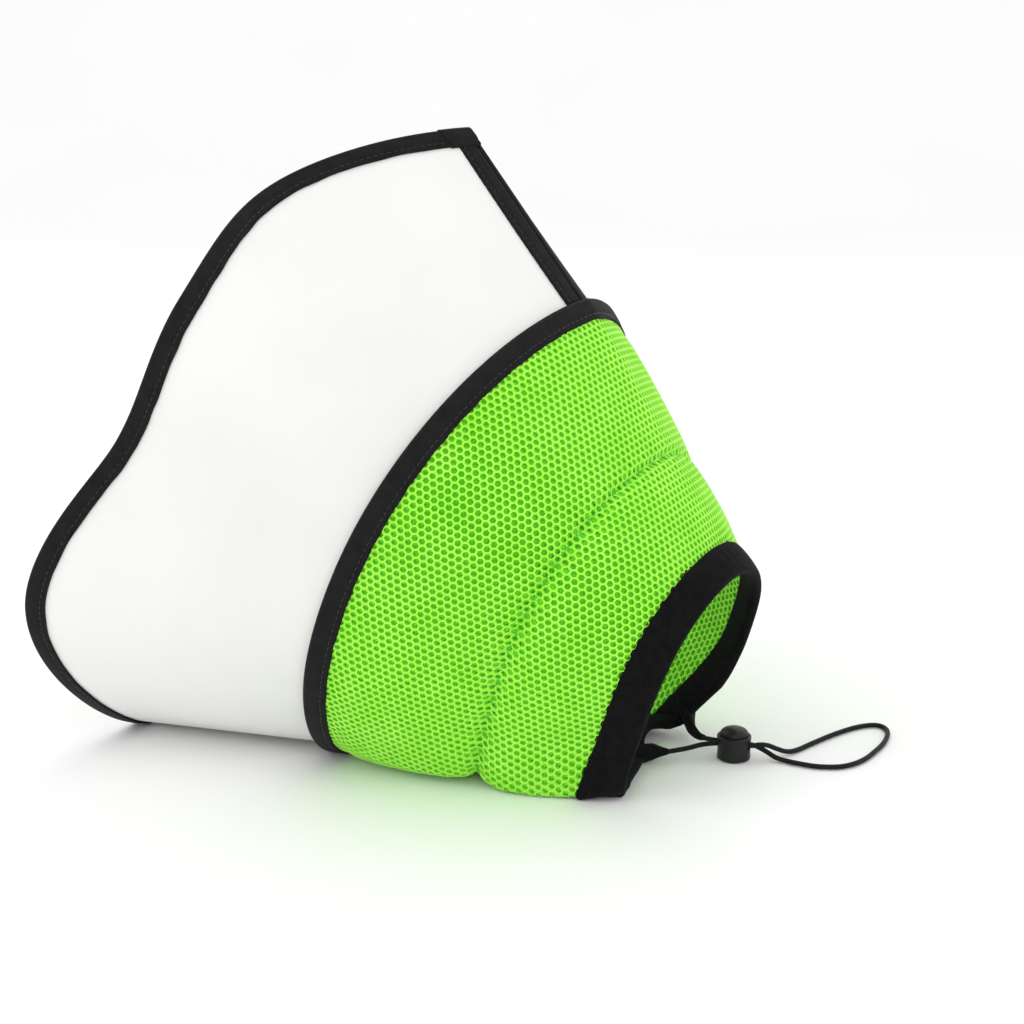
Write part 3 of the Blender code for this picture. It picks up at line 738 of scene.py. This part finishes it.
# Cuts the mesh section's flat pattern out of the knitted sheet and lays it on the collar
def makeKnitFace(name, side):
    # the fabric's own seam is underneath, so the angles start there
    angles = np.linspace(180.0, 540.0, 721)
    wide, narrow = meshBase(angles, 0.0), meshBase(angles, 1.0)
    wideRun = np.concatenate([[0.0], np.cumsum(np.linalg.norm(np.diff(wide, axis=0), axis=1))])
    narrowRun = np.linalg.norm(np.diff(narrow, axis=0), axis=1).sum()
    depth = float(np.mean(meshLength(angles)))
    fanReach = wideRun[-1] / (wideRun[-1] - narrowRun) * depth
    fanTurn = wideRun[-1] / fanReach
    flat = knitSheet(2 * fanReach, 2 * fanReach, 1.0 if side > 0 else knit["innerHole"])
    count = len(flat.vertices)
    spots = np.empty(count * 3, np.float32)
    flat.vertices.foreach_get("co", spots)
    spots = spots.reshape(-1, 3).astype(float)
    spots[:, :2] -= spots[:, :2].mean(axis=0)
    turn = radians(knit["turn"])
    x = spots[:, 0] * cos(turn) - spots[:, 1] * sin(turn)
    y = spots[:, 0] * sin(turn) + spots[:, 1] * cos(turn)
    # tiles keep together: each vertex asks its tile's middle whether the tile stays
    perTile = 18  # three rings of six
    middleX = np.repeat(x.reshape(-1, perTile).mean(axis=1), perTile)
    middleY = np.repeat(y.reshape(-1, perTile).mean(axis=1), perTile)
    reach, bearing = np.hypot(middleX, middleY), np.arctan2(middleX, -middleY)
    share = bearing / fanTurn + 0.5
    inFan = (share > 0.0) & (share < 1.0)
    tileAngle = np.interp(np.clip(share, 0, 1) * wideRun[-1], wideRun, angles)
    deep = fanReach - reach
    start = collar["edgeTape"] - 0.004
    keep = inFan & (deep > start) & (deep < meshLength(tileAngle))
    reach, bearing = np.hypot(x, y), np.arctan2(x, -y)
    share = np.clip(bearing / fanTurn + 0.5, 0.0, 1.0)
    angle = np.interp(share * wideRun[-1], wideRun, angles)
    along = np.clip((fanReach - reach) / meshLength(angle), 0.0, 1.0)
    laid = np.zeros((count, 3))
    laid[keep] = meshSurface(angle[keep], along[keep], side * (spots[keep, 2] + innerFace))
    laid += frameShift
    flat.vertices.foreach_set("co", laid.astype(np.float32).ravel())
    work = bmesh.new()
    work.from_mesh(flat)
    work.verts.ensure_lookup_table()
    bmesh.ops.delete(work, geom=[work.verts[i] for i in np.flatnonzero(~keep)], context="VERTS")
    bmesh.ops.remove_doubles(work, verts=work.verts, dist=0.00004)
    if side < 0:
        bmesh.ops.reverse_faces(work, faces=work.faces)
    mesh = bpy.data.meshes.new(name)
    work.to_mesh(mesh)
    work.free()
    bpy.data.meshes.remove(flat)
    mesh.shade_smooth()
    print(name, len(mesh.polygons), "faces")
    return finishPiece(name, mesh, "yarn")


makeKnitFace("knit_face_outer", 1)
makeKnitFace("knit_face_inner", -1)


# Sewing: quilting in the mesh's dent and a row near each tape's free edge
quilting = {"stitch": 0.0026, "gap": 0.0008, "radius": 0.0004, "sink": 0.3, "under": 0.0003}
sewing = {"stitch": 0.0024, "gap": 0.0009, "radius": 0.00022, "sink": 0.2, "under": 0.0003, "groove": 0.24}


# Stitches along a row of spots, each a small rounded bar
def stitchRow(name, spots, ups, thread, material):
    stitchLength, radius = thread["stitch"], thread["radius"]
    lengths = np.concatenate([[0.0], np.cumsum(np.linalg.norm(np.diff(spots, axis=0), axis=1))])
    count = int(lengths[-1] / (stitchLength + thread["gap"]))
    work = bmesh.new()
    for i in range(count):
        ends = []
        for shift in (0.0, stitchLength):
            at = (i + 0.5) * lengths[-1] / count - stitchLength / 2 + shift
            ends.append(np.array([np.interp(at, lengths, spots[:, k]) for k in range(3)]))
        up = ups[np.searchsorted(lengths, (i + 0.5) * lengths[-1] / count) - 1]
        ahead = Vector(ends[1] - ends[0]).normalized()
        side = ahead.cross(Vector(up)).normalized()
        middle = Vector((ends[0] + ends[1]) / 2 + up * radius * (1 - thread["sink"]) + frameShift)
        turn = Matrix((ahead, side, side.cross(ahead) * -1.0)).transposed().to_4x4()
        made = bmesh.ops.create_uvsphere(work, u_segments=6, v_segments=5, radius=radius)
        bmesh.ops.rotate(work, verts=made["verts"], cent=(0, 0, 0), matrix=Matrix.Rotation(pi / 2, 3, "Y"))
        bmesh.ops.scale(work, verts=made["verts"], vec=(stitchLength / radius / 2, 1.0, 0.8))
        bmesh.ops.transform(work, verts=made["verts"], matrix=Matrix.Translation(middle) @ turn)
    bmesh.ops.recalc_face_normals(work, faces=work.faces)
    mesh = bpy.data.meshes.new(name)
    work.to_mesh(mesh)
    work.free()
    mesh.shade_smooth()
    return finishPiece(name, mesh, material)


def quiltLine(side):
    angle = np.linspace(0.0, 360.0, 721)
    hidden = collar["edgeTape"] / meshLength(angle)
    share = hidden + stitchAlong * (1.0 - hidden)
    spots = meshSurface(angle, share, side * quilting["under"])
    ups = outward(meshBase, angle, share) * side
    return spots, ups


for name, side in (("quilting_thread_outer", 1), ("quilting_thread_inner", -1)):
    spots, ups = quiltLine(side)
    stitchRow(name, spots, ups, quilting, "greenThread")


def tapeThread(name, station, width, half):
    u = np.linspace(0.0, 1.0, 721)
    spot, ahead, out = station(u)
    line = -(width - collar["clear"] - half) + sewing["groove"] * width
    for side, tag in ((1, "_outer"), (-1, "_inner")):
        spots = spot + ahead * line + out * side * (half - sewing["under"])
        stitchRow(name + tag, spots, out * side, sewing, "blackThread")


tapeThread("rim_thread", rimStation, collar["rimTape"], rimHalf)
tapeThread("mesh_edge_thread", edgeStation, collar["edgeTape"], edgeHalf)
tapeThread("near_seam_thread", seamStation(1), collar["seamTape"], rimHalf)
tapeThread("far_seam_thread", seamStation(-1), collar["seamTape"], rimHalf)
print("stitching done")

# Casing: a soft roll of brushed knit, narrowed to a hem where the cord's two ends leave
casing = {"hemPlaces": (154.0, 168.0, 180.0, 206.0, 222.0, 236.0), "hemWidth": 0.55, "hemThick": 0.75}


def hemShare(angle, least):
    half = (1.0 + least) / 2
    return np.interp(angle, casing["hemPlaces"], (1.0, half, least, least, half, 1.0))


def makeCasing():
    slot = collar["casingSlot"]

    def place(u, v):
        angle = u * 360.0
        start, end = neckPoint(angle), mouthPoint(angle)
        ahead = casingWay(angle)
        across = neckPoint(angle - 3.0) - neckPoint(angle + 3.0)
        out = unit(np.cross(across, ahead))
        facing = np.sum(out * outward(meshBase, angle, np.ones_like(angle)), axis=-1, keepdims=True)
        out = np.where(facing < 0.0, -out, out)
        half = casingHalf * hemShare(angle, casing["hemThick"])
        reach = (np.linalg.norm(end - start, axis=-1) + slot) * hemShare(angle, casing["hemWidth"])
        front = reach - slot - half
        # outline in shares: free edge fold, soft back lips, pillowed faces
        shape = [(-1.0, 0.30), (-1.02, 0.62), (-0.93, 0.90), (-0.75, 0.99)]
        shape += [(t, 1.0 + 0.10 * sin((t + 0.75) / 1.75 * pi)) for t in np.linspace(-0.6, 0.85, 10)]
        shape += [(1.0 + 0.0, 1.0)]
        bend = [(1.0 + sin(t), cos(t)) for t in np.linspace(0.2, pi - 0.2, 11)]
        under = [(a, -b) for a, b in reversed(shape)]
        outline = shape + bend + under
        a, b = alongOutline(outline, v % 1.0)
        # a from -1 to 1 spans slot to the free edge's fold, past 1 is the rounded fold
        middle, span = (front - slot) / 2, (front + slot) / 2
        run = np.where(a <= 1.0, middle + span * a, front + (a - 1.0) * half)
        bent = np.exp(-((np.abs((angle + 180.0) % 360.0 - 180.0) - 4.0) / 16.0) ** 2)
        ripple = np.sin(u * 2 * pi * 46 + 2.2 * np.sin(u * 2 * pi * 5) + 1.4 * a)
        gather = (0.00004 + 0.00006 * bent) * ripple * np.clip(1.2 - np.abs(a - 0.2), 0, 1)
        crease = 0.0007 * bent * np.exp(-((a - 0.35 + 0.02 * (angle % 360.0 > 180.0)) / 0.16) ** 2)
        return start + ahead * grow(run) + out * grow(b * half + np.sign(b) * (gather - crease))

    mesh = laidGrid("casing_roll", 360, 56, place, (0.4, 0.05))
    piece = finishPiece("casing_roll", mesh, "tricot", ["neck_casing"])
    return piece


makeCasing()

# The casing's two open ends: the far one is drawn to a point on the cord, the near one
# stands up where it was cut. Each row: place, width, thickness, lean of the width
casingEnds = {
    "far": (
        ((-0.1300, 0.0490, 0.0170), 0.0170, 0.0052, 50.0),
        ((-0.1282, 0.0462, 0.0120), 0.0140, 0.0056, 52.0),
        ((-0.1243, 0.0416, 0.0078), 0.0100, 0.0054, 60.0),
        ((-0.1200, 0.0378, 0.0062), 0.0062, 0.0048, 75.0),
        ((-0.1160, 0.0350, 0.0058), 0.0042, 0.0040, 90.0),
        ((-0.1128, 0.0333, 0.0063), 0.0030, 0.0030, 90.0),
    ),
    "near": (
        ((-0.1345, -0.0060, 0.0050), 0.0090, 0.0066, 80.0),
        ((-0.1314, -0.0020, 0.0056), 0.0094, 0.0066, 84.0),
        ((-0.1290, 0.0020, 0.0058), 0.0094, 0.0062, 90.0),
        ((-0.1264, 0.0062, 0.0052), 0.0086, 0.0056, 95.0),
        ((-0.1246, 0.0092, 0.0046), 0.0054, 0.0044, 95.0),
        ((-0.1226, 0.0118, 0.0042), 0.0032, 0.0032, 90.0),
    ),
}


# A soft oval sleeve through the rows, closed at both ends
def makeCasingEnd(name, rows):
    stations, sides = 60, 28
    path, _ = smoothRoute([row[0] for row in rows], stations)
    ahead, side, up = besidePath(path)
    steps, fine = np.linspace(0.0, 1.0, len(rows)), np.linspace(0.0, 1.0, stations)
    width, thick, lean = (np.interp(fine, steps, [row[k] for row in rows]) for k in (1, 2, 3))
    lean = np.radians(lean)
    wideWay = grow(np.cos(lean)) * side + grow(np.sin(lean)) * up
    thickWay = np.cross(wideWay, ahead)

    def place(u, v):
        pick = np.rint(u * (stations - 1)).astype(int)
        turn = v * 2 * pi
        wrinkle = 1.0 + 0.05 * np.sin(turn * 5 + u * 9.0) * np.sin(u * pi)
        across = grow(np.cos(turn) * width[pick] / 2 * wrinkle) * wideWay[pick]
        through = grow(np.sin(turn) * thick[pick] / 2 * wrinkle) * thickWay[pick]
        return onFloor(path[pick] + across + through, 0.0002)

    mesh = laidGrid(name, stations - 1, sides, place, (0.03, 0.03), caps=True)
    finishPiece(name, mesh, "tricot")


for name, rows in casingEnds.items():
    makeCasingEnd("casing_end_" + name, rows)
print("casing done")

# Cord lock: round barrel and domed push button, turned about the lock's own axis
lock = {"radius": 0.0085, "height": 0.0122, "wall": 0.0013, "base": 0.0015, "buttonTop": 0.0164,
        "travel": 0.0025, "edge": 0.0016, "gap": 0.0003, "strandHeight": 0.0076, "spread": 0.0032,
        "turn": 14.0, "steps": 72}


# Turns (radius, height) points about the lock's axis
def spunMesh(name, profile):
    work = bmesh.new()
    verts = [work.verts.new((radius, 0.0, height)) for radius, height in profile]
    edges = [work.edges.new(pair) for pair in zip(verts, verts[1:])]
    bmesh.ops.spin(work, geom=verts + edges, axis=(0, 0, 1), cent=(0, 0, 0), dvec=(0, 0, 0), angle=2 * pi,
                   steps=lock["steps"], use_merge=True, use_duplicate=False)
    bmesh.ops.remove_doubles(work, verts=work.verts, dist=0.000005)
    bmesh.ops.recalc_face_normals(work, faces=work.faces)
    bmesh.ops.translate(work, verts=work.verts, vec=Vector((*collar["lockPlace"], 0.0)) + Vector(frameShift))
    mesh = bpy.data.meshes.new(name)
    work.to_mesh(mesh)
    work.free()
    return mesh


# Cuts the strands' hole through a lock part
def cutSlot(mesh, low, high):
    holder = bpy.data.objects.new("cut", mesh)
    bpy.context.scene.collection.objects.link(holder)
    wide = lock["spread"] + cord["diameter"] + 4 * lock["gap"]
    work = bmesh.new()
    bmesh.ops.create_cube(work, size=1.0)
    bmesh.ops.scale(work, verts=work.verts, vec=(4 * lock["radius"], wide, high - low))
    sides = [edge for edge in work.edges if abs(edge.verts[0].co.x - edge.verts[1].co.x) > lock["radius"]]
    bmesh.ops.bevel(work, geom=sides, offset=0.0011, segments=4, affect="EDGES", profile=0.5, material=-1)
    turn = Matrix.Rotation(radians(lock["turn"]), 3, "Z")
    bmesh.ops.rotate(work, verts=work.verts, cent=(0, 0, 0), matrix=turn)
    middle = Vector((*collar["lockPlace"], (low + high) / 2)) + Vector(frameShift)
    bmesh.ops.translate(work, verts=work.verts, vec=middle)
    cutterMesh = bpy.data.meshes.new("cutter")
    work.to_mesh(cutterMesh)
    work.free()
    cutter = bpy.data.objects.new("cutter", cutterMesh)
    bpy.context.scene.collection.objects.link(cutter)
    boolean = holder.modifiers.new("hole", "BOOLEAN")
    boolean.object, boolean.operation, boolean.solver = cutter, "DIFFERENCE", "EXACT"
    graph = bpy.context.evaluated_depsgraph_get()
    made = bpy.data.meshes.new_from_object(holder.evaluated_get(graph))
    bpy.data.objects.remove(holder)
    bpy.data.objects.remove(cutter)
    made.shade_smooth()
    made.set_sharp_from_angle(angle=radians(38.0))
    return made


def makeCordLock():
    radius, height, wall = lock["radius"], lock["height"], lock["wall"]
    bore, lip, foot = radius - wall, 0.0006, 0.0012
    body = [(0.0, lock["base"]), (bore, lock["base"]), (bore, height - 0.0002), (bore + 0.0002, height)]
    body += [(radius - lip + lip * sin(t), height - lip + lip * cos(t)) for t in np.linspace(0, pi / 2, 6)]
    body += [(radius - 0.00025 * sin(pi * t) - 0.0002 * t, height - 0.0008 - (height - 0.0022) * t)
             for t in np.linspace(0.0, 1.0, 14)]
    body += [(radius - foot - 0.0002 + foot * cos(t), foot - foot * sin(t))
             for t in np.linspace(0.1, pi / 2, 7)]
    body += [(0.0, 0.0)]
    hole = lock["strandHeight"], (cord["diameter"] + 4 * lock["gap"]) / 2
    mesh = cutSlot(spunMesh("lock_barrel", body), hole[0] - hole[1], hole[0] + hole[1])
    barrel = finishPiece("lock_barrel", mesh, "acetal", ["cord_lock_body"])
    size = bore - lock["gap"]
    bottom = lock["base"] + lock["travel"] + lock["gap"]
    top = lock["buttonTop"]
    button = [(size * sin(t), top - 2 * lock["edge"] * (1 - cos(t))) for t in np.linspace(0.0, pi / 2, 16)]
    button += [(size, bottom + 0.0003), (size - 0.0003, bottom), (0.0, bottom)]
    mesh = spunMesh("lock_push_button", button)
    mesh = cutSlot(mesh, hole[0] - hole[1], hole[0] + hole[1] + lock["travel"])
    finishPiece("lock_push_button", mesh, "acetal", ["cord_lock_button"], "lock_button")
    return barrel


lockBarrel = makeCordLock()
print("cord lock done")

# Studio: white floor that curves up behind, a large soft light above and two fills
studio = {"half": 6.0, "front": 4.0, "back": 3.0, "bend": 1.6, "wall": 4.0,
          "floorColour": "#FAFAFA", "world": "#FFFFFF", "worldStrength": 1.02}


def addStudio():
    work = bmesh.new()
    half, back, bend = studio["half"], studio["back"], studio["bend"]
    ends = [work.verts.new((side * half, -studio["front"], 0.0)) for side in (-1, 1)]
    edge = [work.edges.new(ends)]
    moved = bmesh.ops.extrude_edge_only(work, edges=edge)["geom"]
    line = [item for item in moved if isinstance(item, bmesh.types.BMEdge)
            and all(vert in moved for vert in item.verts)]
    verts = [item for item in moved if isinstance(item, bmesh.types.BMVert)]
    bmesh.ops.translate(work, verts=verts, vec=(0, studio["front"] + back, 0))
    turned = bmesh.ops.spin(work, geom=line, axis=(1, 0, 0), cent=(0, back, bend), dvec=(0, 0, 0),
                            angle=pi / 2, steps=24, use_duplicate=False)["geom_last"]
    line = [item for item in turned if isinstance(item, bmesh.types.BMEdge)]
    moved = bmesh.ops.extrude_edge_only(work, edges=line)["geom"]
    verts = [item for item in moved if isinstance(item, bmesh.types.BMVert)]
    bmesh.ops.translate(work, verts=verts, vec=(0, 0, studio["wall"]))
    bmesh.ops.rotate(work, verts=work.verts, cent=(0, 0, 0),
                     matrix=Matrix.Rotation(radians(cameraView["azimuth"]), 3, "Z"))
    mesh = bpy.data.meshes.new("studio_floor")
    work.to_mesh(mesh)
    work.free()
    mesh.shade_smooth()
    floor = bpy.data.objects.new("studio_floor", mesh)
    material, tree, shader = newMaterial("matt_white_floor", studio["floorColour"], Roughness=0.9)
    coords = addNode(tree, "TexCoord").outputs["Object"]
    mottle(tree, shader, coords, "#F9F9F9", "#FCFCFC", 2.0)
    mesh.materials.append(material)
    bpy.context.scene.collection.objects.link(floor)
    world = bpy.data.worlds.new("studio")
    world.use_nodes = True
    background = world.node_tree.nodes["Background"]
    background.inputs["Color"].default_value = hexColour(studio["world"])
    background.inputs["Strength"].default_value = studio["worldStrength"]
    bpy.context.scene.world = world
    bpy.context.scene.view_settings.view_transform = "Standard"
    lights = (
        ("key", (-0.55, -1.0, 1.5), 1.2, 4.0),
        ("right_fill", (1.3, -0.9, 0.8), 1.2, 1.5),
        ("back_top", (-0.2, 1.2, 1.6), 1.4, 3.5),
    )
    for name, spot, size, power in lights:
        data = bpy.data.lights.new(name, "AREA")
        data.size, data.energy = size, power
        lamp = bpy.data.objects.new(name, data)
        lamp.location = spot
        lamp.rotation_euler = (Vector((0.0, 0.0, 0.1)) - Vector(spot)).to_track_quat("-Z", "Y").to_euler()
        bpy.context.scene.collection.objects.link(lamp)


addStudio()
print("studio ready")
